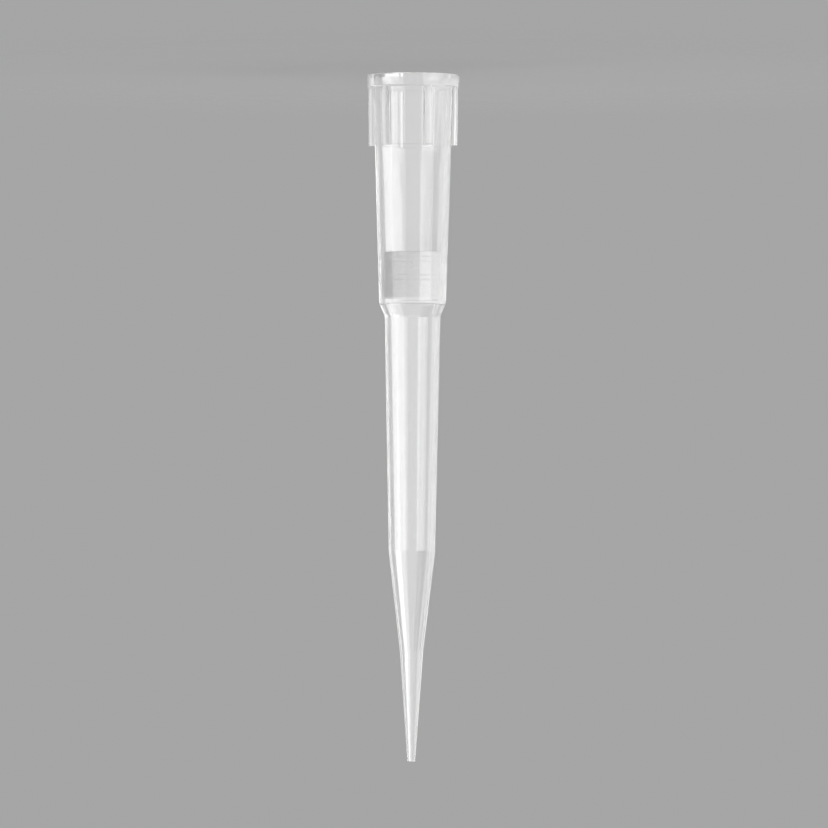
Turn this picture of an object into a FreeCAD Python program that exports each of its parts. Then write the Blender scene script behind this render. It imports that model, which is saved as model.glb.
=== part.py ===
import FreeCAD, Part
import Sketcher
import math
import os

# Filter pipette tip, in millimetres.
#
# The tip stands on its wide end. The origin is the centre of the mouth, and +Z runs up the axis
# to the point. Two sub-parts share that axis:
#   tip_body     the moulded, hollow tip: rim, ribbed collar, socket, shoulder, barrel and point
#   filter_plug  the porous plug that is pressed into the bore, just short of the ledge

# Driving dimensions. Radii are half of a diameter, and heights are measured from the mouth.
DIMENSIONS = {
    # heights along the axis
    "lead_in_height": 0.25,
    "rim_height": 0.945,
    "land_end": 1.45,
    "rib_start": 0.5,
    "rib_end": 5.55,
    "plug_start": 13.89,
    "plug_length": 3.67,
    "shoulder_start": 17.95,
    "ledge_height": 17.96,
    "shoulder_end": 18.95,
    "barrel_end": 37.37,
    "upper_taper_end": 45.24,
    "tip_length": 54.0,
    # outer radii
    "rim_mouth_radius": 3.69,
    "rim_top_radius": 3.595,
    "collar_radius": 3.176,
    "collar_end_radius": 3.038,
    "cone_start_radius": 3.008,
    "shoulder_start_radius": 2.637,
    "shoulder_end_radius": 2.1885,
    "barrel_end_radius": 1.83,
    "upper_taper_radius": 0.929,
    "orifice_rim_radius": 0.311,
    # bore radii
    "mouth_radius": 2.79,
    "land_radius": 2.64,
    "seat_radius": 2.245,
    "throat_radius": 2.19,
    "barrel_bore_radius": 1.79,
    "barrel_end_bore_radius": 1.435,
    "upper_taper_bore_radius": 0.62,
    "orifice_radius": 0.195,
    # ribs around the collar
    "rib_count": 6,
    "rib_width": 0.6,
    "rib_root_radius": 2.85,
    "rib_start_radius": 3.58,
    "rib_end_radius": 3.52,
    # rounding
    "rim_rounding": 0.05,
    "rib_rounding": 0.25,
    "shoulder_rounding": 0.8,
    "plug_rounding": 0.15,
}

SHEET = "dimensions"
FULL_TURN = 360
SAME = 1e-4  # two lengths closer than this are the same length


def bound(alias):
    """The expression that reads one driving dimension."""
    return f"{SHEET}.{alias}"


def add_sheet(document):
    """Writes each driving dimension in a cell of its own, with its name as the cell's alias."""
    sheet = document.addObject("Spreadsheet::Sheet", SHEET)
    for row, (alias, value) in enumerate(DIMENSIONS.items(), start=1):
        sheet.set(f"A{row}", alias)
        sheet.set(f"B{row}", str(value))
        sheet.setAlias(f"B{row}", alias)
    document.recompute()
    return sheet


def origin_feature(body, role):
    """One plane or axis of the body's own origin, such as XZ_Plane."""
    for feature in body.Origin.OriginFeatures:
        if feature.Role == role:
            return feature
    raise LookupError(f"{body.Label} has no {role}")


def add_body(document, label):
    """An empty body at the origin, whose label names its sub-part."""
    body = document.addObject("PartDesign::Body", label)
    body.Label = label
    body.Placement = FreeCAD.Placement()
    return body


def add_sketch(body, name, role):
    """An empty sketch on one of the body's own origin planes."""
    sketch = body.newObject("Sketcher::SketchObject", name)
    sketch.AttachmentSupport = [(origin_feature(body, role), "")]
    sketch.MapMode = "FlatFace"
    return sketch


def add_half_section(body, name, corners):
    """A closed outline of straight lines on the XZ plane.

    Each corner is a pair of dimension names, its radius and its height. A height of None is the
    plane of the mouth.
    """
    sketch = add_sketch(body, name, "XZ_Plane")
    points = []
    for radius, height in corners:
        up = 0.0 if height is None else DIMENSIONS[height]
        points.append(FreeCAD.Vector(DIMENSIONS[radius], up, 0))
    for start, end in zip(points, points[1:] + points[:1]):
        sketch.addGeometry(Part.LineSegment(start, end))
    for index in range(len(points)):
        previous = (index - 1) % len(points)
        sketch.addConstraint(Sketcher.Constraint("Coincident", previous, 2, index, 1))
    for index, (radius, height) in enumerate(corners):
        across = Sketcher.Constraint("DistanceX", -1, 1, index, 1, DIMENSIONS[radius])
        number = sketch.addConstraint(across)
        sketch.setExpression(f"Constraints[{number}]", bound(radius))
        if height is None:
            sketch.addConstraint(Sketcher.Constraint("PointOnObject", index, 1, -1))
            continue
        up = Sketcher.Constraint("DistanceY", -1, 1, index, 1, DIMENSIONS[height])
        number = sketch.addConstraint(up)
        sketch.setExpression(f"Constraints[{number}]", bound(height))
    return sketch


def ring_edges(shape, rings):
    """The names of the circular edges that have one of these (radius, height) pairs."""
    names = []
    for number, edge in enumerate(shape.Edges, start=1):
        if not isinstance(edge.Curve, Part.Circle):
            continue
        for radius, height in rings:
            radius_off = abs(edge.Curve.Radius - DIMENSIONS[radius])
            height_off = abs(edge.Curve.Center.z - height)
            if radius_off < SAME and height_off < SAME:
                names.append(f"Edge{number}")
    return names


def rib_edges(shape):
    """The names of the long outer edges of the ribs."""
    half_width = DIMENSIONS["rib_width"] / 2
    outer = math.hypot(DIMENSIONS["rib_end_radius"], half_width)
    names = []
    for number, edge in enumerate(shape.Edges, start=1):
        top = max(edge.Vertexes, key=lambda vertex: vertex.Z).Point
        bottom = min(edge.Vertexes, key=lambda vertex: vertex.Z).Point
        at_end = abs(top.z - DIMENSIONS["rib_end"]) < SAME
        at_rim = abs(bottom.z - DIMENSIONS["rim_height"]) < SAME
        if at_end and at_rim and abs(math.hypot(top.x, top.y) - outer) < SAME:
            names.append(f"Edge{number}")
    return names


def add_fillet(body, base, name, edges, radius):
    """Rounds the named edges of the base feature with one driving radius."""
    fillet = body.newObject("PartDesign::Fillet", name)
    fillet.Base = (base, edges)
    fillet.setExpression("Radius", bound(radius))
    return fillet


def build_tip_body(document):
    """The hollow moulding: a wall turned about the axis, with ribs round its collar."""
    body = add_body(document, "tip_body")
    wall_section = add_half_section(
        body,
        "wall_section",
        [
            ("mouth_radius", None),
            ("rim_mouth_radius", None),
            ("rim_top_radius", "rim_height"),
            ("collar_radius", "rim_height"),
            ("collar_end_radius", "rib_end"),
            ("cone_start_radius", "rib_end"),
            ("shoulder_start_radius", "shoulder_start"),
            ("shoulder_end_radius", "shoulder_end"),
            ("barrel_end_radius", "barrel_end"),
            ("upper_taper_radius", "upper_taper_end"),
            ("orifice_rim_radius", "tip_length"),
            ("orifice_radius", "tip_length"),
            ("upper_taper_bore_radius", "upper_taper_end"),
            ("barrel_end_bore_radius", "barrel_end"),
            ("barrel_bore_radius", "shoulder_end"),
            ("throat_radius", "ledge_height"),
            ("seat_radius", "ledge_height"),
            ("seat_radius", "plug_start"),
            ("land_radius", "land_end"),
            ("land_radius", "lead_in_height"),
        ],
    )
    wall = body.newObject("PartDesign::Revolution", "wall")
    wall.Profile = wall_section
    wall.ReferenceAxis = (wall_section, ["V_Axis"])
    wall.Angle = FULL_TURN
    document.recompute()

    rim_edges = ring_edges(wall.Shape, [("rim_mouth_radius", 0.0)])
    rounded_rim = add_fillet(body, wall, "rounded_rim", rim_edges, "rim_rounding")
    document.recompute()

    shoulder_rings = [
        ("shoulder_start_radius", DIMENSIONS["shoulder_start"]),
        ("shoulder_end_radius", DIMENSIONS["shoulder_end"]),
    ]
    shoulder_edges = ring_edges(rounded_rim.Shape, shoulder_rings)
    rounded_shoulder = add_fillet(
        body, rounded_rim, "rounded_shoulder", shoulder_edges, "shoulder_rounding"
    )
    document.recompute()

    rib_section = add_half_section(
        body,
        "rib_section",
        [
            ("rib_root_radius", "rib_start"),
            ("rib_start_radius", "rib_start"),
            ("rib_end_radius", "rib_end"),
            ("rib_root_radius", "rib_end"),
        ],
    )
    rib = body.newObject("PartDesign::Pad", "rib")
    rib.Profile = rib_section
    rib.SideType = "Symmetric"
    rib.setExpression("Length", bound("rib_width"))
    document.recompute()

    ribs = body.newObject("PartDesign::PolarPattern", "ribs")
    ribs.Originals = [rib]
    ribs.Axis = (origin_feature(body, "Z_Axis"), [""])
    ribs.Angle = FULL_TURN
    ribs.setExpression("Occurrences", bound("rib_count"))
    body.Tip = ribs
    document.recompute()

    add_fillet(body, ribs, "rounded_ribs", rib_edges(ribs.Shape), "rib_rounding")
    document.recompute()
    print("wall", round(wall.Shape.Volume, 2), "mm3")
    print("rounded shoulder", round(rounded_shoulder.Shape.Volume, 2), "mm3")
    print("with ribs", round(ribs.Shape.Volume, 2), "mm3")
    return body


def build_filter_plug(document):
    """The porous plug: a short cylinder as wide as its seat in the bore, with rounded ends."""
    body = add_body(document, "filter_plug")
    section = add_sketch(body, "plug_section", "XY_Plane")
    section.setExpression("AttachmentOffset.Base.z", bound("plug_start"))
    centre = FreeCAD.Vector(0, 0, 0)
    up = FreeCAD.Vector(0, 0, 1)
    section.addGeometry(Part.Circle(centre, up, DIMENSIONS["seat_radius"]))
    section.addConstraint(Sketcher.Constraint("Coincident", 0, 3, -1, 1))
    radius = Sketcher.Constraint("Radius", 0, DIMENSIONS["seat_radius"])
    number = section.addConstraint(radius)
    section.setExpression(f"Constraints[{number}]", bound("seat_radius"))

    cylinder = body.newObject("PartDesign::Pad", "cylinder")
    cylinder.Profile = section
    cylinder.setExpression("Length", bound("plug_length"))
    document.recompute()

    plug_end = DIMENSIONS["plug_start"] + DIMENSIONS["plug_length"]
    end_rings = [("seat_radius", DIMENSIONS["plug_start"]), ("seat_radius", plug_end)]
    end_edges = ring_edges(cylinder.Shape, end_rings)
    add_fillet(body, cylinder, "rounded_ends", end_edges, "plug_rounding")
    document.recompute()
    return body


def check(document, bodies):
    """Stops the script at the first failed feature or unusable shape."""
    for item in document.Objects:
        if "Invalid" in item.State or "Error" in item.State:
            raise RuntimeError(f"{item.Label} failed: {item.State}")
    for body in bodies:
        if body.Shape.isNull() or not body.Shape.isValid():
            raise RuntimeError(f"{body.Label} has no valid shape")
        if len(body.Shape.Solids) != 1:
            raise RuntimeError(f"{body.Label} isn't one solid")


def main():
    document = FreeCAD.newDocument("pipette_tip")
    add_sheet(document)
    bodies = [build_tip_body(document), build_filter_plug(document)]
    document.recompute()
    check(document, bodies)
    os.makedirs("parts", exist_ok=True)
    for body in bodies:
        body.Shape.exportStep(f"parts/{body.Label}.step")
        box = body.Shape.BoundBox
        size = [round(length, 3) for length in (box.XLength, box.YLength, box.ZLength)]
        print(body.Label, size, "volume", round(body.Shape.Volume, 3), "mm3")


main()
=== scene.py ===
"""Filter pipette tip: a clear ribbed moulding with a porous plug in its bore.

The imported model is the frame. Both of its nodes are made again here as finer surfaces of the
same size, the moulding with its true wall, so that light bends through it as it does in the real
one. Lengths in the dataclasses are millimetres, and meshes are in metres.
"""

import logging
import math
from dataclasses import dataclass, field
from enum import Enum

import bpy
import numpy as np
from mathutils import Matrix, Vector


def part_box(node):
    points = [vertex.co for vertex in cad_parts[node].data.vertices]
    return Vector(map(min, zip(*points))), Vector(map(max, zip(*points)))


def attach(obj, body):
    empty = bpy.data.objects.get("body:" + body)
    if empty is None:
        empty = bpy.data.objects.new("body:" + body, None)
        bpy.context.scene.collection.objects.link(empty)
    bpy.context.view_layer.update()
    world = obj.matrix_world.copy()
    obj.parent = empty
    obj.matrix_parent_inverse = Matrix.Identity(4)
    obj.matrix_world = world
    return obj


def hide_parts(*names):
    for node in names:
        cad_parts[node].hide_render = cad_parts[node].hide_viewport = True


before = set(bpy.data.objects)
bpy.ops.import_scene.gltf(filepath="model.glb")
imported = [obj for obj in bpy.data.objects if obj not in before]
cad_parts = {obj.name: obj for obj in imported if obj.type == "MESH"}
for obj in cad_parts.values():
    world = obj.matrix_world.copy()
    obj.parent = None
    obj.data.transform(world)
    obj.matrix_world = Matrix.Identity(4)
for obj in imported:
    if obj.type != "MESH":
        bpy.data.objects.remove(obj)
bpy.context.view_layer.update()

LOG = logging.getLogger("pipette_tip")
MM = 0.001
TURN = 2 * math.pi
QUARTER = TURN / 4
BODY = "root"
THICKNESS = "thickness"

# Fixed numbers without a pattern, which take the place of a random draw.
SCATTER = np.array([[127.1, 269.5, 113.5], [311.7, 183.3, 271.9], [74.7, 246.1, 124.6]])
SCATTER_GAIN = 43758.5453

Coordinates = tuple[np.ndarray, np.ndarray, np.ndarray]


class Slot(Enum):
    """The record's material slots, one for each piece."""

    MOULDING = "tip_body"
    PLUG = "filter_plug"


# ---------------------------------------------------------------------------------------------
# Surfaces
# ---------------------------------------------------------------------------------------------


def smooth(t: np.ndarray) -> np.ndarray:
    """Eases from 0 to 1: three t squared less two t cubed, with t held between 0 and 1."""
    held = np.clip(t, 0.0, 1.0)
    return held * held * (3.0 - 2.0 * held)


@dataclass(frozen=True)
class Corner:
    """A corner of a section: its radius from the axis, its height, and how far it is rounded."""

    radius: float
    height: float
    rounding: float = 0.0


def rounded_path(corners: list[Corner], spacing: float, arc_steps: int = 5) -> np.ndarray:
    """Walks straight lines between corners and rounds each corner with a tangent arc.

    The arc at a corner starts and ends at rounding times the tangent of half the turn from it.
    From its start, each point lies rounding times the sine of the angle swept so far along the
    way in, and rounding times one less the cosine across it.

    Args:
        corners: the corners in order; the first and the last stay sharp.
        spacing: the longest step along a straight stretch.
        arc_steps: how many steps each arc is cut into.

    Returns:
        An array of (radius, height) rows.
    """
    places = np.array([[c.radius, c.height] for c in corners])
    pieces = [places[:1]]
    for index in range(1, len(corners)):
        here = places[index]
        arrive = here - places[index - 1]
        arrive /= np.linalg.norm(arrive)
        if index == len(corners) - 1 or corners[index].rounding == 0.0:
            arc = here[None]
        else:
            leave = places[index + 1] - here
            leave /= np.linalg.norm(leave)
            cross = arrive[0] * leave[1] - arrive[1] * leave[0]
            turn = math.atan2(cross, float(arrive @ leave))
            side = np.array([-arrive[1], arrive[0]]) * math.copysign(1.0, turn)
            arm = corners[index].rounding * math.tan(abs(turn) / 2)
            sweep = np.linspace(0.0, abs(turn), arc_steps + 1)[:, None]
            along = corners[index].rounding * np.sin(sweep) * arrive
            across = corners[index].rounding * (1.0 - np.cos(sweep)) * side
            arc = here - arm * arrive + along + across
        start = pieces[-1][-1]
        length = float(np.linalg.norm(arc[0] - start))
        steps = max(1, math.ceil(length / spacing))
        between = start + np.linspace(0.0, 1.0, steps + 1)[1:-1, None] * (arc[0] - start)
        pieces += [between, arc]
    return np.concatenate(pieces)


def face_normals_at_points(points: np.ndarray) -> np.ndarray:
    """Normals of a grid that closes both ways, weighted by face area.

    Each quad's normal is half the cross product of its diagonals, as long as the quad's area, and
    a point takes the sum of its four quads.

    Args:
        points: an array of rows by columns by 3.

    Returns:
        Unit normals in the same shape.
    """
    right = np.roll(points, -1, axis=1)
    up = np.roll(points, -1, axis=0)
    corner = np.roll(right, -1, axis=0)
    quads = np.cross(corner - points, up - right)
    total = quads + np.roll(quads, 1, axis=0) + np.roll(quads, 1, axis=1)
    total += np.roll(np.roll(quads, 1, axis=0), 1, axis=1)
    return total / np.linalg.norm(total, axis=2, keepdims=True)


def closed_quads(rows: int, columns: int) -> np.ndarray:
    """Numbers the quads of a grid that closes both ways.

    Each quad is a point, the next in its row, the one diagonal to it, and the next in its column,
    and the last row and column wrap round to the first.

    Args:
        rows: how many rows the grid has.
        columns: how many points each row has.

    Returns:
        Point numbers, four to a row.
    """
    number = np.arange(rows * columns).reshape(rows, columns)
    right = np.roll(number, -1, axis=1)
    up = np.roll(number, -1, axis=0)
    corner = np.roll(right, -1, axis=0)
    return np.stack([number, right, corner, up], axis=2).reshape(-1, 4)


def circle(steps: int) -> np.ndarray:
    """Points round a level circle of radius 1: cosine, sine and no height at even angles."""
    angle = np.arange(steps) * TURN / steps
    return np.stack([np.cos(angle), np.sin(angle), 0 * angle], axis=1)


def mesh_object(
    name: str, points: np.ndarray, faces: list, normals: np.ndarray | None = None
) -> bpy.types.Object:
    """Makes a smooth-shaded mesh object at the origin.

    Args:
        name: the piece's name.
        points: its points in millimetres, one to a row.
        faces: tuples of point numbers, counter-clockwise from outside.
        normals: a normal for each point, unless they are left to the mesh.

    Returns:
        The new object, linked to the scene.
    """
    mesh = bpy.data.meshes.new(name)
    mesh.from_pydata((points * MM).tolist(), [], faces)
    mesh.polygons.foreach_set("use_smooth", np.ones(len(mesh.polygons), bool))
    mesh.update()
    if normals is not None:
        mesh.normals_split_custom_set_from_vertices(normals.tolist())
    piece = bpy.data.objects.new(name, mesh)
    bpy.context.scene.collection.objects.link(piece)
    return piece


def place_in_frame(
    piece: bpy.types.Object, material: bpy.types.Material, node: str
) -> None:
    """Gives a piece its finish, hides the node of the frame that it replaces, and hangs it on the
    body.

    Args:
        piece: the finished piece.
        material: its finish.
        node: the node that it replaces.
    """
    piece.data.materials.append(material)
    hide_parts(node)
    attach(piece, BODY)


# ---------------------------------------------------------------------------------------------
# Finishes
# ---------------------------------------------------------------------------------------------


class Nodes:
    """A short hand for building one node tree."""

    def __init__(self, tree: bpy.types.NodeTree) -> None:
        """Starts the tree empty."""
        self.tree = tree
        self.tree.nodes.clear()

    def add(self, kind: str, inputs: dict | None = None, **settings: object) -> bpy.types.Node:
        """Adds a node, sets its attributes, and sets or links its inputs.

        Args:
            kind: the node's type.
            inputs: input name or number to a plain value or to another node's output.
            settings: the node's own attributes.

        Returns:
            The new node.
        """
        node = self.tree.nodes.new(kind)
        for name, value in settings.items():
            setattr(node, name, value)
        for name, value in (inputs or {}).items():
            socket = node.inputs[name] if isinstance(name, int) else self.socket(node, name)
            if isinstance(value, bpy.types.NodeSocket):
                self.tree.links.new(value, socket)
            else:
                socket.default_value = value
        return node

    def math(self, operation: str, *values: object) -> bpy.types.NodeSocket:
        """Adds a math node on these values, in order, and returns its output."""
        node = self.add("ShaderNodeMath", dict(enumerate(values)), operation=operation)
        return node.outputs[0]

    @staticmethod
    def socket(node: bpy.types.Node, name: str) -> bpy.types.NodeSocket:
        """The node's input of this name that is in use, for nodes that hide others like it."""
        return next(each for each in node.inputs if each.name == name and each.enabled)


def material_nodes(name: str) -> tuple[bpy.types.Material, Nodes]:
    """Makes an empty material.

    Args:
        name: the material's name.

    Returns:
        The material, and the short hand for its node tree.
    """
    material = bpy.data.materials.new(name)
    material.use_nodes = True
    return material, Nodes(material.node_tree)


@dataclass(frozen=True)
class NaturalPolypropylene:
    """Clear moulded polypropylene with a slight haze and faint draw marks along the axis.

    Scales are in cycles to a metre, and the marks' depth is in metres.
    """

    tint: tuple[float, float, float, float] = (0.97, 0.97, 0.97, 1.0)
    ior: float = 1.49
    clearness: float = 0.82
    haze_change: float = 0.02
    thick_haze: float = 0.15
    cloud_scale: float = 420.0
    roughness: float = 0.06
    roughness_change: float = 0.036
    marks_scale: float = 2600.0
    marks_stretch: float = 0.01
    marks_strength: float = 0.006
    marks_depth: float = 0.00005
    noise_range: tuple[float, float] = (0.3, 0.7)
    light_through: float = 0.97

    def vary(
        self, nodes: Nodes, noise: bpy.types.NodeSocket, middle: float, change: float
    ) -> bpy.types.NodeSocket:
        """Turns noise into a value that swings to both sides of a middle.

        The noise's usual range is stretched to the middle less and plus half of the change.

        Args:
            nodes: the tree that it is added to.
            noise: the noise's output.
            middle: the value's middle.
            change: the whole of its swing.

        Returns:
            The output of the value.
        """
        low, high = self.noise_range
        swing = nodes.add(
            "ShaderNodeMapRange",
            {
                "Value": noise,
                "From Min": low,
                "From Max": high,
                "To Min": middle - change / 2,
                "To Max": middle + change / 2,
            },
        )
        return swing.outputs["Result"]

    def build(self) -> bpy.types.Material:
        """Builds the material: glass with a share of white haze, and a paler shadow.

        The haze is what the clearness leaves, and more where the plastic is thick. Shadow and
        diffuse rays go straight through but for a small share, so the tip's shadow is faint.

        Returns:
            The new material.
        """
        material, nodes = material_nodes("natural_polypropylene")
        place = nodes.add("ShaderNodeTexCoord").outputs["Object"]
        along = (1.0, 1.0, self.marks_stretch)
        drawn = nodes.add("ShaderNodeMapping", {"Vector": place, "Scale": along}).outputs["Vector"]
        marks = nodes.add(
            "ShaderNodeTexNoise",
            {"Vector": drawn, "Scale": self.marks_scale, "Detail": 3.0, "Roughness": 0.55},
        ).outputs["Fac"]
        cloud = nodes.add(
            "ShaderNodeTexNoise", {"Vector": place, "Scale": self.cloud_scale, "Detail": 2.0}
        ).outputs["Fac"]
        clear = self.vary(nodes, cloud, self.clearness, self.haze_change)
        thick = nodes.add("ShaderNodeAttribute", attribute_name=THICKNESS).outputs["Fac"]
        relief = nodes.add(
            "ShaderNodeBump",
            {"Height": marks, "Strength": self.marks_strength, "Distance": self.marks_depth},
        )
        plastic = nodes.add(
            "ShaderNodeBsdfPrincipled",
            {
                "Base Color": self.tint,
                "Roughness": self.vary(nodes, marks, self.roughness, self.roughness_change),
                "IOR": self.ior,
                "Transmission Weight": nodes.math("MULTIPLY_ADD", thick, -self.thick_haze, clear),
                "Normal": relief.outputs["Normal"],
            },
        )
        passed = nodes.add("ShaderNodeBsdfTransparent")
        ray = nodes.add("ShaderNodeLightPath").outputs
        soft = nodes.math("MAXIMUM", ray["Is Shadow Ray"], ray["Is Diffuse Ray"])
        share = nodes.math("MULTIPLY", soft, self.light_through)
        mixed = nodes.add(
            "ShaderNodeMixShader", {0: share, 1: plastic.outputs[0], 2: passed.outputs[0]}
        )
        nodes.add("ShaderNodeOutputMaterial", {"Surface": mixed.outputs[0]})
        return material


@dataclass(frozen=True)
class PorousPolyethylene:
    """Sintered white polyethylene: matt, grainy, with painted shade darkening the hollows between
    its grains.

    Scales are in cells to a metre, and the relief's depth is in metres.
    """

    pale: tuple[float, float, float, float] = (0.85, 0.85, 0.85, 1.0)
    # painted shade: the darker colour given to the hollows between grains
    shaded: tuple[float, float, float, float] = (0.70, 0.70, 0.70, 1.0)
    shaded_from: float = 0.55
    grain_scale: float = 5200.0
    speckle_scale: float = 9000.0
    relief_strength: float = 0.35
    relief_depth: float = 0.00006
    roughness: float = 0.92
    specular: float = 0.2

    def build(self) -> bpy.types.Material:
        """Builds the material: a matt white whose relief sinks between the grains, patched by
        speckle noise, with painted shade darkening the colour in those hollows.

        Returns:
            The new material.
        """
        material, nodes = material_nodes("porous_polyethylene")
        place = nodes.add("ShaderNodeTexCoord").outputs["Object"]
        grains = nodes.add("ShaderNodeTexVoronoi", {"Vector": place, "Scale": self.grain_scale})
        speckle = nodes.add(
            "ShaderNodeTexNoise", {"Vector": place, "Scale": self.speckle_scale, "Detail": 4.0}
        )
        # Painted shade: the colour runs from pale on a grain to the shaded colour in the hollows,
        # where the inverted relief sinks.
        hollows_and_shade = nodes.math("MULTIPLY", grains.outputs["Distance"], speckle.outputs["Fac"])
        colour = nodes.add("ShaderNodeValToRGB", {"Fac": hollows_and_shade})
        start, end = colour.color_ramp.elements
        start.color = self.pale
        end.color = self.shaded
        end.position = self.shaded_from
        relief = nodes.add(
            "ShaderNodeBump",
            {"Height": hollows_and_shade, "Strength": self.relief_strength, "Distance": self.relief_depth},
            invert=True,
        )
        shader = nodes.add(
            "ShaderNodeBsdfPrincipled",
            {
                "Base Color": colour.outputs["Color"],
                "Roughness": self.roughness,
                "Specular IOR Level": self.specular,
                "Normal": relief.outputs["Normal"],
            },
        )
        nodes.add("ShaderNodeOutputMaterial", {"Surface": shader.outputs[0]})
        return material


# ---------------------------------------------------------------------------------------------
# Pieces
# ---------------------------------------------------------------------------------------------


@dataclass
class Moulding:
    """The clear moulded tip: rim, ribs, socket, shoulder, barrel and point, with a true wall.

    Radii and heights are measured from the centre of the mouth. The section is one closed line:
    over the rim, up the outside to the point, and back down the bore to the mouth's flat face,
    where its two ends lie at the seam's distances from the mouth's edge. Each row is the section's
    next point taken round the axis. The rows stand on half a sector, from a rib's middle to half
    way to the next, where columns crowd at the rib's foot and relax to even steps away from it.
    """

    # rim and mouth
    rim_height: float = 0.945
    rim_top_radius: float = 3.595
    rim_rounding: float = 0.05
    rim_top_rounding: float = 0.035
    rim_top_inset: float = 0.037
    mouth_radius: float = 2.79
    mouth_rounding: float = 0.06
    # outside, from the collar to the point
    cone_base_radius: float = 3.146
    collar_root: float = 0.10
    collar_step: float = 0.03
    collar_fall: float = 0.06
    shoulder_start: Corner = Corner(2.637, 17.95, 0.8)
    shoulder_end: Corner = Corner(2.1885, 18.95, 0.8)
    barrel_end: Corner = Corner(1.83, 37.37, 2.0)
    upper_taper_end: Corner = Corner(0.929, 45.24, 4.0)
    orifice_rim_radius: float = 0.311
    orifice_radius: float = 0.195
    orifice_rounding: float = 0.03
    # bore, from the point to the mouth
    upper_taper_bore: Corner = Corner(0.62, 45.24, 4.0)
    barrel_end_bore: Corner = Corner(1.435, 37.37, 2.0)
    barrel_bore: Corner = Corner(1.79, 18.95, 0.8)
    throat: Corner = Corner(2.19, 17.96, 0.04)
    ledge_rounding: float = 0.03
    seat_rounding: float = 2.0
    land_end: Corner = Corner(2.64, 1.45)
    lead_in: Corner = Corner(2.64, 0.25, 0.15)
    # ribs
    ribs: int = 6
    rib_width: float = 0.60
    rib_end: float = 5.55
    rib_radius_at_rim: float = 3.575
    rib_radius_at_end: float = 3.520
    rib_rounding: float = 0.25
    foot_rounding: float = 0.02
    end_rounding: float = 0.04
    end_draft: float = 0.004
    end_foot: float = 0.05
    # witness rings
    ring_heights: tuple[float, ...] = (14.53, 15.95)
    ring_width: float = 0.44
    ring_depth: float = 0.02
    ring_slope: float = 0.06
    ring_rounding: float = 0.12
    # the thick plastic behind the rim: where it ends and how far it fades, in rim heights
    thick_end: float = 1.25
    thick_fade: float = 0.30
    # rows along the section
    spacing: float = 1.0
    rim_spacing: float = 0.22
    rib_rows: int = 8
    rounding_rows: int = 4
    seam: tuple[float, float] = (0.08, 0.10)
    plain_from: float = 0.30
    # columns round half a sector
    face_columns: int = 2
    arc_columns: int = 6
    side_columns: int = 2
    gap_columns: int = 14
    crowding: float = 0.45
    spread_share: float = 0.25
    relax_on_rim: tuple[float, float] = (0.12, 0.55)
    relax_on_cone: tuple[float, float] = (0.20, 3.0)
    # read from the frame
    length: float = field(init=False)
    rim_radius: float = field(init=False)
    seat: Corner = field(init=False)
    seat_start: Corner = field(init=False)

    def __post_init__(self) -> None:
        """Reads the overall sizes and the plug's seat from the frame."""
        low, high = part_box("tip_body")
        self.length = (high[2] - low[2]) / MM
        self.rim_radius = (high[1] - low[1]) / 2 / MM
        plug_low, plug_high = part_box("filter_plug")
        seat_radius = (plug_high[0] - plug_low[0]) / 2 / MM
        self.seat = Corner(seat_radius, self.throat.height, self.ledge_rounding)
        self.seat_start = Corner(seat_radius, plug_low[2] / MM, self.seat_rounding)

    def cone_radius(self, height: np.ndarray) -> np.ndarray:
        """The outer cone's radius: straight from its base at the rim's top to the shoulder."""
        rise = (height - self.rim_height) / (self.shoulder_start.height - self.rim_height)
        return self.cone_base_radius + rise * (self.shoulder_start.radius - self.cone_base_radius)

    def collar_surface(self, height: np.ndarray) -> np.ndarray:
        """The surface between the ribs: a step proud of the cone, easing down to it at the end."""
        fallen = smooth((height - self.rib_end + self.end_rounding) / self.collar_fall)
        return self.cone_radius(height) + self.collar_step * (1.0 - fallen)

    def rib_radius(self, height: np.ndarray) -> np.ndarray:
        """The ribs' outer radius: straight from the rim to the ribs' ends."""
        rise = (height - self.rim_height) / (self.rib_end - self.rim_height)
        return self.rib_radius_at_rim + rise * (self.rib_radius_at_end - self.rib_radius_at_rim)

    def foot_angle(self, radius: np.ndarray) -> np.ndarray:
        """The angle from a rib's middle to its foot: its sine is half the foot over the radius."""
        return np.arcsin((self.rib_width / 2 + self.foot_rounding) / radius)

    def gap_share(self) -> np.ndarray:
        """Where the columns between two ribs stand: 0 at the rib's foot and 1 half-way across.

        Even steps are mixed with their squares, so the columns crowd towards the foot.
        """
        even = np.linspace(0.0, 1.0, self.gap_columns)
        return (1.0 - self.crowding) * even + self.crowding * even * even

    def spread_angles(self, radius: float) -> np.ndarray:
        """Column angles over half a sector on a plain ring.

        Under a rib they are even steps to its foot, as many as the rib's outline has columns, and
        past it they follow the gap's shares of the rest.

        Args:
            radius: the ring's radius.

        Returns:
            Angles from 0 at the rib's middle to half the angle between two ribs.
        """
        foot = float(self.foot_angle(np.array(radius)))
        rib_count = self.face_columns + 2 * self.arc_columns + self.side_columns
        under_rib = np.linspace(0.0, foot, rib_count + 1)[:-1]
        half = math.pi / self.ribs
        return np.concatenate([under_rib, foot + (half - foot) * self.gap_share()])

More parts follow.
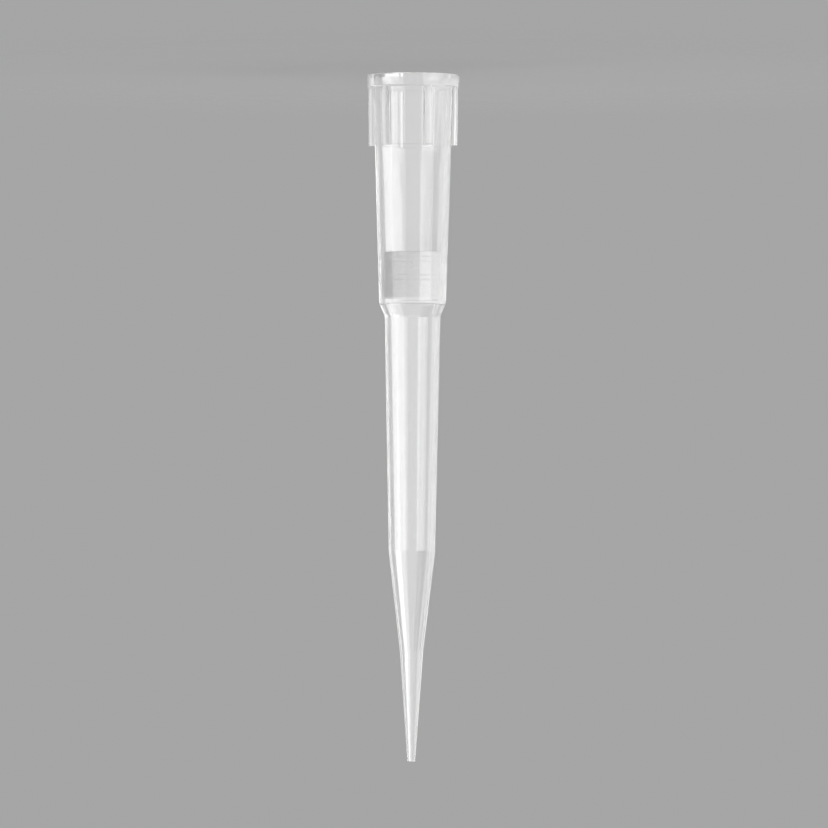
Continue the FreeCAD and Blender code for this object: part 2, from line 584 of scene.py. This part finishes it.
    def rib_outline(
        self, ring: np.ndarray, crest: np.ndarray, inset: np.ndarray
    ) -> tuple[np.ndarray, np.ndarray]:
        """Half of a rib's cross-section at each row, from its middle to its foot.

        It is a flat crest, a quarter circle, a straight side, and a quarter circle that opens on
        to the ring. x runs outwards along the rib's middle and y across it.

        Args:
            ring: the radius of the surface that the rib stands on, one for each row.
            crest: the rib's outer radius, one for each row.
            inset: how far the crest and sides are drawn in, one for each row.

        Returns:
            x and y, each rows by rib columns.
        """
        rounding, foot_rounding = self.rib_rounding, self.foot_rounding
        top = (crest - inset)[:, None]
        side_y = (self.rib_width / 2 - inset)[:, None]
        foot_y = self.rib_width / 2 + foot_rounding
        foot_x = np.sqrt(ring[:, None] ** 2 - foot_y**2)
        flat = np.linspace(0.0, 1.0, self.face_columns, endpoint=False)[None]
        quarter = np.linspace(0.0, QUARTER, self.arc_columns, endpoint=False)[None]
        drop = np.linspace(0.0, 1.0, self.side_columns, endpoint=False)[None]
        side_top = top - rounding
        side_foot = foot_x + foot_rounding
        x = [
            top + 0 * flat,
            side_top + rounding * np.cos(quarter),
            side_top + (side_foot - side_top) * drop,
            side_foot - foot_rounding * np.sin(quarter),
        ]
        y = [
            (side_y - rounding) * flat,
            side_y - rounding + rounding * np.sin(quarter),
            side_y + 0 * drop,
            side_y + (foot_y - side_y) * (1.0 - np.cos(quarter)),
        ]
        return np.concatenate(x, axis=1), np.concatenate(y, axis=1)

    def ribbed_rows(self) -> Coordinates:
        """The collar from the rim's top face to just past the ribs' ends, over half a sector.

        The rows climb a quarter circle at the collar's root, the ribs' straight height, a quarter
        circle over the ribs' ends, and the ribs' end faces down to a small foot on the cone. On a
        rib a row follows the rib's outline. Between the ribs it follows the collar's surface, and
        the last rows ease apart there, to lie evenly over the collar's fall.

        Returns:
            x, y and z, each rows by columns, in the first rib's own frame.
        """
        turn = np.linspace(0.0, QUARTER, self.rounding_rows + 1)
        root_z = self.rim_height + self.collar_root * (1.0 - np.cos(turn))
        root_bend = self.collar_root * (1.0 - np.sin(turn))
        over_start = self.rib_end - self.end_rounding
        side_z = np.linspace(root_z[-1], over_start, self.rib_rows + 1)[1:]
        over_z = side_z[-1] + self.end_rounding * np.sin(turn[1:])
        rib_z = np.concatenate([root_z, side_z, over_z])
        ring = self.collar_surface(rib_z)
        ring[: len(root_bend)] += root_bend
        inset = np.zeros_like(rib_z)
        inset[-len(over_z) :] = self.end_rounding * (1.0 - np.cos(turn[1:]))
        rib_x, rib_y = self.rib_outline(ring, self.rib_radius(rib_z), inset)

        end_z = self.rib_end + np.array([self.end_draft, self.end_foot])
        lift = np.array([[self.end_foot], [0.0]]) * np.linspace(1.0, 0.0, rib_x.shape[1])[None]
        end_radius = self.collar_surface(end_z)[:, None] + lift
        end_angle = self.spread_angles(float(end_radius[1, 0]))[None, : rib_x.shape[1]]
        rib_x = np.concatenate([rib_x, end_radius * np.cos(end_angle)])
        rib_y = np.concatenate([rib_y, end_radius * np.sin(end_angle)])
        rib_z = np.concatenate([rib_z, end_z])
        ring = np.concatenate([ring, self.collar_surface(end_z)])

        foot = self.foot_angle(ring)[:, None]
        gap_angle = foot + (math.pi / self.ribs - foot) * self.gap_share()[None]
        loose = len(over_z) + len(end_z)
        even_z = rib_z.copy()
        even_z[-loose:] = side_z[-1] + self.collar_fall / (loose - 1) * np.arange(1, loose + 1)
        away = smooth(self.gap_share() / self.spread_share)[None]
        gap_z = rib_z[:, None] + away * (even_z - rib_z)[:, None]
        gap_radius = self.collar_surface(gap_z)
        gap_radius[: len(root_bend)] += root_bend[:, None]

        x = np.concatenate([rib_x, gap_radius * np.cos(gap_angle)], axis=1)
        y = np.concatenate([rib_y, gap_radius * np.sin(gap_angle)], axis=1)
        z = np.concatenate([rib_z[:, None] + 0 * rib_x, gap_z], axis=1)
        return x, y, z

    def ring_rows(self, path: np.ndarray, relax: np.ndarray, radius: float) -> Coordinates:
        """Plain rings along a section, over half a sector: radius times cosine and sine.

        Args:
            path: (radius, height) rows.
            relax: 0 where columns stand close at the ribs, 1 where they are evenly spread.
            radius: the radius at which the close columns were set out.

        Returns:
            x, y and z, each rows by columns.
        """
        close = self.spread_angles(radius)
        even = np.linspace(0.0, math.pi / self.ribs, len(close))
        angle = close + relax[:, None] * (even - close)
        x = path[:, :1] * np.cos(angle)
        y = path[:, :1] * np.sin(angle)
        return x, y, path[:, 1:] + 0 * angle

    def rim_path(self) -> np.ndarray:
        """The mouth's flat face and the rim's side, up to the rim's top face.

        Returns:
            (radius, height) rows.
        """
        corners = [
            Corner(self.mouth_radius + self.seam[1], 0.0),
            Corner(self.rim_radius, 0.0, self.rim_rounding),
            Corner(self.rim_top_radius, self.rim_height, self.rim_top_rounding),
            Corner(self.rim_top_radius - self.rim_top_inset, self.rim_height),
        ]
        return rounded_path(corners, self.rim_spacing)

    def ring_corners(self) -> list[Corner]:
        """The witness rings' corners: each is a shallow groove in the cone with sloping sides.

        Returns:
            Four corners for each ring, in order up the cone.
        """
        corners = []
        for middle in self.ring_heights:
            start, end = middle - self.ring_width / 2, middle + self.ring_width / 2
            slope = self.ring_slope
            for height, depth in ((start, 0), (start + slope, 1), (end - slope, 1), (end, 0)):
                radius = float(self.cone_radius(np.array(height))) - depth * self.ring_depth
                corners.append(Corner(radius, height, self.ring_rounding))
        return corners

    def upper_path(self) -> np.ndarray:
        """The outside from above the ribs to the point, then the bore back to the mouth.

        Returns:
            (radius, height) rows.
        """
        start = self.rib_end + self.plain_from
        corners = [
            Corner(float(self.cone_radius(np.array(start))), start),
            *self.ring_corners(),
            self.shoulder_start,
            self.shoulder_end,
            self.barrel_end,
            self.upper_taper_end,
            Corner(self.orifice_rim_radius, self.length, self.orifice_rounding),
            Corner(self.orifice_radius, self.length, self.orifice_rounding),
            self.upper_taper_bore,
            self.barrel_end_bore,
            self.barrel_bore,
            self.throat,
            self.seat,
            self.seat_start,
            self.land_end,
            self.lead_in,
            Corner(self.mouth_radius, 0.0, self.mouth_rounding),
            Corner(self.mouth_radius + self.seam[0], 0.0),
        ]
        return rounded_path(corners, self.spacing)

    def grid(self) -> np.ndarray:
        """All the rows round the wall's section, joined, and turned into a full circle.

        Half a sector is mirrored in the rib's middle and then turned once for each rib.

        Returns:
            Points as rows by columns by 3, closed both ways.
        """
        rim = self.rim_path()
        inset, width = self.relax_on_rim
        on_face = rim[:, 1] == 0.0
        relax = smooth((self.rim_radius - inset - rim[:, 0]) / width) * on_face
        parts = [self.ring_rows(rim, relax, self.rim_top_radius), self.ribbed_rows()]
        upper = self.upper_path()
        start, rise = self.relax_on_cone
        outside = np.arange(len(upper)) < np.argmax(upper[:, 1])
        relax = np.where(outside, smooth((upper[:, 1] - self.rib_end - start) / rise), 1.0)
        parts.append(self.ring_rows(upper, relax, self.cone_base_radius))
        x, y, z = (np.concatenate([part[axis] for part in parts]) for axis in range(3))

        x = np.concatenate([x[:, :0:-1], x[:, :-1]], axis=1)
        y = np.concatenate([-y[:, :0:-1], y[:, :-1]], axis=1)
        z = np.concatenate([z[:, :0:-1], z[:, :-1]], axis=1)
        sectors = []
        for angle in np.arange(self.ribs) * TURN / self.ribs:
            turned_x = x * math.cos(angle) - y * math.sin(angle)
            turned_y = x * math.sin(angle) + y * math.cos(angle)
            sectors.append(np.stack([turned_x, turned_y, z], axis=2))
        return np.concatenate(sectors, axis=1)

    def build(self) -> bpy.types.Object:
        """Makes the moulding's mesh as one closed surface, outside and bore together.

        Returns:
            The piece, with the thickness at each point as an attribute.
        """
        points = self.grid()
        faces = closed_quads(*points.shape[:2]).tolist()
        normals = face_normals_at_points(points).reshape(-1, 3)
        piece = mesh_object("clear_moulding", points.reshape(-1, 3), faces, normals)
        thickness = piece.data.attributes.new(THICKNESS, "FLOAT", "POINT")
        thickness.data.foreach_set("value", self.thickness(points).ravel())
        return piece

    def thickness(self, points: np.ndarray) -> np.ndarray:
        """How thick the plastic is at each point, from 0 on the plain wall to 1 on rim and ribs.

        On the collar it is how far the point stands off the cone, over how far the ribs do. In the
        socket it is 1 behind the rim, and fades out just past it.

        Args:
            points: rows by columns by 3, in millimetres.

        Returns:
            Thickness, rows by columns.
        """
        radius = np.hypot(points[:, :, 0], points[:, :, 1])
        height = points[:, :, 2]
        rib_height = self.rib_radius_at_rim - self.cone_base_radius
        proud = (radius - self.cone_radius(height)) / rib_height
        on_collar = height < self.rib_end + self.plain_from
        fade = self.thick_fade * self.rim_height
        behind_rim = smooth((self.thick_end * self.rim_height - height) / fade)
        return np.clip(np.maximum(proud * on_collar, behind_rim), 0.0, 1.0)

    def dress(self, piece: bpy.types.Object) -> None:
        """Makes the piece clear plastic in the place of the moulded tip."""
        place_in_frame(piece, NaturalPolypropylene().build(), "tip_body")


@dataclass
class FilterPlug:
    """The porous plug: a short cylinder of fused grains that fills its seat in the bore."""

    grain: float = 0.22
    grain_depth: float = 0.035
    grain_shift: float = 0.42
    edge_rounding: float = 0.16
    pole_radius: float = 0.02
    spacing: float = 0.055
    radius: float = field(init=False)
    start: float = field(init=False)
    end: float = field(init=False)

    def __post_init__(self) -> None:
        """Reads the plug's size and place from the frame."""
        low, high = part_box("filter_plug")
        self.radius = (high[0] - low[0]) / 2 / MM
        self.start, self.end = low[2] / MM, high[2] / MM

    def hollows(self, points: np.ndarray) -> np.ndarray:
        """How deep the surface lies between grains at each point.

        Grain centres are lattice points shifted by a fixed pseudo-random step. The depth is the
        distance to the nearest centre over the lattice's pitch, squared.

        Args:
            points: positions in millimetres, one to a row.

        Returns:
            Depths from 0 on a grain to about 1 between grains.
        """
        cells = np.floor(points / self.grain)
        nearest = np.full(len(points), np.inf)
        for neighbour in np.ndindex(3, 3, 3):
            cell = cells + np.array(neighbour) - 1
            draw = np.sin(cell @ SCATTER) * SCATTER_GAIN
            shift = self.grain_shift * (2.0 * (draw - np.floor(draw)) - 1.0)
            centre = (cell + 0.5 + shift) * self.grain
            distance = np.linalg.norm(points - centre, axis=1) / self.grain
            nearest = np.minimum(nearest, distance)
        return np.clip(nearest, 0.0, 1.0) ** 2

    def build(self) -> bpy.types.Object:
        """Turns a rounded section about the axis and sinks the surface between the grains.

        A point sinks against its own outward direction by its depth. A fan of triangles round
        each pole closes the two end faces.

        Returns:
            The piece.
        """
        corners = [
            Corner(self.pole_radius, self.start),
            Corner(self.radius, self.start, self.edge_rounding),
            Corner(self.radius, self.end, self.edge_rounding),
            Corner(self.pole_radius, self.end),
        ]
        path = rounded_path(corners, self.spacing)
        rows = len(path)
        columns = int(TURN * self.radius / self.spacing)
        ring = circle(columns)
        points = path[:, None, :1] * ring[None]
        points[:, :, 2] = path[:, 1:]
        points = points.reshape(-1, 3)
        step = np.gradient(path, axis=0)
        outward = np.stack([step[:, 1], -step[:, 0]], axis=1)
        outward /= np.linalg.norm(outward, axis=1, keepdims=True)
        away = outward[:, None, :1] * ring[None]
        away[:, :, 2] = outward[:, 1:]
        depth = self.grain_depth * self.hollows(points)[:, None]
        points = points - away.reshape(-1, 3) * depth

        number = np.arange(rows * columns).reshape(rows, columns)
        right = np.roll(number, -1, axis=1)
        quads = np.stack([number[:-1], right[:-1], right[1:], number[1:]], axis=2).reshape(-1, 4)
        poles = np.array([[0.0, 0.0, self.start], [0.0, 0.0, self.end]])
        low_pole, high_pole = rows * columns, rows * columns + 1
        low_fan = np.stack([right[0], number[0], np.full(columns, low_pole)], axis=1)
        high_fan = np.stack([number[-1], right[-1], np.full(columns, high_pole)], axis=1)
        faces = quads.tolist() + low_fan.tolist() + high_fan.tolist()
        return mesh_object("porous_plug", np.concatenate([points, poles]), faces)

    def dress(self, piece: bpy.types.Object) -> None:
        """Makes the piece porous plastic in the place of the filter plug."""
        place_in_frame(piece, PorousPolyethylene().build(), "filter_plug")


# ---------------------------------------------------------------------------------------------
# Studio
# ---------------------------------------------------------------------------------------------


@dataclass(frozen=True)
class SoftBank:
    """A bank of soft lamps side by side, as the tip sees it, in degrees.

    It reaches from the first bearing to the second, each measured from the camera and positive to
    the right of its view. Its rises are heights above the level, below it where negative.
    """

    name: str
    bearings: tuple[float, float]
    rises: tuple[float, float]
    radiance: float


@dataclass
class Studio:
    """The camera, the floor, the plain surround and the soft lamps.

    Lengths are millimetres, but for the camera's clipping distances in metres. The view is as tall
    as the view height where the tip stands. The slide moves the tip to the right in it, and the
    lean turns the camera, in degrees. The floor fades between two distances from the axis.
    """

    ground: tuple[float, float, float] = (0.38, 0.38, 0.38)
    paper: tuple[float, float, float] = (0.40, 0.40, 0.40)
    camera_bearing: float = -99.6
    camera_distance: float = 394.0
    view_height: float = 65.18
    sensor: float = 36.0
    eye_height: float = 26.66
    slide: float = -0.13
    lean: float = 0.16
    clip: tuple[float, float] = (0.01, 10.0)
    floor_radius: float = 70.0
    floor_sides: int = 96
    fade: tuple[float, float] = (10.0, 60.0)
    dome_bearing: float = 70.0
    dome_bright: float = 0.64
    dome_dim: float = 0.0
    lamp_distance: float = 600.0
    widest_lamp: float = 24.0
    banks: tuple[SoftBank, ...] = (
        SoftBank("key", (24.0, 66.0), (-5.0, 8.0), 2.87),
        SoftBank("front", (-24.0, 24.0), (-5.0, 8.0), 0.45),
        SoftBank("front_left", (-56.0, -24.0), (-5.0, 8.0), 1.38),
        SoftBank("left", (-72.0, -56.0), (-5.0, 30.0), 2.15),
        SoftBank("right", (66.0, 96.0), (-5.0, 8.0), 0.75),
        SoftBank("low_right", (30.0, 90.0), (-20.0, -5.0), 1.00),
        SoftBank("high_front", (-56.0, 56.0), (8.0, 30.0), 0.55),
        SoftBank("high_left", (-90.0, -72.0), (8.0, 30.0), 2.50),
        SoftBank("back_right", (96.0, 165.0), (-5.0, 8.0), 0.41),
        SoftBank("low_back", (90.0, 177.0), (-20.0, -5.0), 0.48),
        SoftBank("back", (177.0, 183.0), (-20.0, 8.0), 0.22),
        SoftBank("back_edge", (183.0, 188.0), (-20.0, 8.0), 0.66),
        SoftBank("back_left", (188.0, 206.0), (-20.0, 8.0), 1.20),
        SoftBank("far_left", (206.0, 240.0), (-20.0, 8.0), 0.22),
        SoftBank("high_back", (183.0, 206.0), (8.0, 30.0), 2.70),
        SoftBank("over", (90.0, 225.0), (30.0, 60.0), 2.60),
    )

    def side(self, bearing: float) -> Vector:
        """The level direction from the tip at a bearing from the camera, seen head down."""
        angle = math.radians(self.camera_bearing - bearing)
        return Vector((math.cos(angle), math.sin(angle), 0.0))

    def add_camera(self) -> None:
        """Stands the camera level with the tip's middle and turns it head down."""
        data = bpy.data.cameras.new("camera")
        data.sensor_width = self.sensor
        data.lens = self.sensor * self.camera_distance / self.view_height
        data.clip_start, data.clip_end = self.clip
        camera = bpy.data.objects.new("camera", data)
        bpy.context.scene.collection.objects.link(camera)
        back = self.side(0.0)
        view_right = self.side(90.0)
        target = Vector((0.0, 0.0, self.eye_height)) - view_right * self.slide
        upright = back.to_track_quat("Z", "Y").to_matrix().to_4x4()
        roll = Matrix.Rotation(math.radians(180.0 + self.lean), 4, "Z")
        place = Matrix.Translation((target + back * self.camera_distance) * MM)
        camera.matrix_world = place @ upright @ roll
        bpy.context.scene.camera = camera

    def add_surround(self) -> None:
        """Fills the world with the floor's grey wherever it is seen, and lights with a soft dome.

        The camera, gloss and glass see the grey. Every other ray gets the dome, which is bright
        towards one side and dims evenly to the other: the share is half of one plus the cosine
        of the angle from its bright side.
        """
        world = bpy.data.worlds.new("surround")
        world.use_nodes = True
        nodes = Nodes(world.node_tree)
        ray = nodes.add("ShaderNodeLightPath").outputs
        gloss = nodes.math("MAXIMUM", ray["Is Glossy Ray"], ray["Is Transmission Ray"])
        seen = nodes.math("MAXIMUM", ray["Is Camera Ray"], gloss)
        direction = nodes.add("ShaderNodeTexCoord").outputs["Generated"]
        bright = tuple(self.side(self.dome_bearing))
        facing = nodes.add(
            "ShaderNodeVectorMath", {0: direction, 1: bright}, operation="DOT_PRODUCT"
        )
        dome = nodes.add(
            "ShaderNodeMapRange",
            {
                "Value": facing.outputs["Value"],
                "From Min": -1.0,
                "To Min": self.dome_dim,
                "To Max": self.dome_bright,
            },
        ).outputs["Result"]
        light = nodes.add("ShaderNodeCombineColor", {"Red": dome, "Green": dome, "Blue": dome})
        shade = nodes.add(
            "ShaderNodeMix",
            {"Factor": seen, "A": light.outputs["Color"], "B": (*self.ground, 1.0)},
            data_type="RGBA",
        )
        background = nodes.add("ShaderNodeBackground", {"Color": shade.outputs["Result"]})
        nodes.add("ShaderNodeOutputWorld", {"Surface": background.outputs[0]})
        bpy.context.scene.world = world

    def add_floor(self) -> None:
        """Lays a matt disc under the tip, which melts into the surround far from it.

        Rays that come out of the clear plastic pass through it and see the surround.
        """
        rim = circle(self.floor_sides) * self.floor_radius
        floor = mesh_object("floor", rim, [tuple(range(self.floor_sides))])
        material, nodes = material_nodes("floor_paper")
        place = nodes.add("ShaderNodeTexCoord").outputs["Object"]
        far = nodes.add("ShaderNodeVectorMath", {0: place}, operation="LENGTH")
        gone = nodes.add(
            "ShaderNodeMapRange",
            {
                "Value": far.outputs["Value"],
                "From Min": self.fade[0] * MM,
                "From Max": self.fade[1] * MM,
            },
            interpolation_type="SMOOTHSTEP",
        )
        ray = nodes.add("ShaderNodeLightPath").outputs
        open_share = nodes.math("MAXIMUM", gone.outputs["Result"], ray["Is Transmission Ray"])
        paper = nodes.add("ShaderNodeBsdfDiffuse", {"Color": (*self.paper, 1.0)})
        clear = nodes.add("ShaderNodeBsdfTransparent")
        mixed = nodes.add(
            "ShaderNodeMixShader", {0: open_share, 1: paper.outputs[0], 2: clear.outputs[0]}
        )
        nodes.add("ShaderNodeOutputMaterial", {"Surface": mixed.outputs[0]})
        floor.data.materials.append(material)

    def add_lamp(self, name: str, bearing: float, wide: float, bank: SoftBank) -> None:
        """Hangs one soft lamp of a bank, facing the middle of the tip.

        Its sides are twice the distance times the tangent of half its width and height. Its power
        is its radiance times pi times its area, so it is as bright as written whatever its size.

        Args:
            name: the lamp's name.
            bearing: the bearing of its middle, in degrees.
            wide: its width, in degrees.
            bank: the bank that it belongs to, for its rises and its radiance.
        """
        low, high = bank.rises
        rise = math.radians((low + high) / 2)
        span = 2 * self.lamp_distance * MM
        data = bpy.data.lights.new(name, "AREA")
        data.shape = "RECTANGLE"
        data.size = span * math.tan(math.radians(wide / 2)) * math.cos(rise)
        data.size_y = span * math.tan(math.radians((high - low) / 2))
        data.energy = bank.radiance * math.pi * data.size * data.size_y
        lamp = bpy.data.objects.new(name, data)
        bpy.context.scene.collection.objects.link(lamp)
        out = self.side(bearing) * math.cos(rise) + Vector((0.0, 0.0, math.sin(rise)))
        place = out * self.lamp_distance + Vector((0.0, 0.0, self.eye_height))
        facing = out.to_track_quat("Z", "Y").to_matrix().to_4x4()
        lamp.matrix_world = Matrix.Translation(place * MM) @ facing

    def add_bank(self, bank: SoftBank) -> None:
        """Hangs a bank's lamps side by side, all alike and none wider than the widest lamp.

        Args:
            bank: the bank, from its first bearing to its last.
        """
        start, end = bank.bearings
        count = math.ceil((end - start) / self.widest_lamp)
        wide = (end - start) / count
        for index in range(count):
            self.add_lamp(f"{bank.name}_{index}", start + (index + 0.5) * wide, wide, bank)

    def build(self) -> None:
        """Sets up the whole studio and the plain view transform."""
        scene = bpy.context.scene
        scene.view_settings.view_transform = "Standard"
        scene.cycles.caustics_refractive = False
        scene.cycles.caustics_reflective = False
        self.add_surround()
        self.add_floor()
        for bank in self.banks:
            self.add_bank(bank)
        self.add_camera()


def main() -> None:
    logging.basicConfig(level=logging.INFO, format="%(name)s: %(message)s")
    for part in (Moulding(), FilterPlug()):
        piece = part.build()
        part.dress(piece)
        LOG.info("%s: %d faces, rides on %s", piece.name, len(piece.data.polygons), BODY)
    Studio().build()


if __name__ == "__main__":
    main()
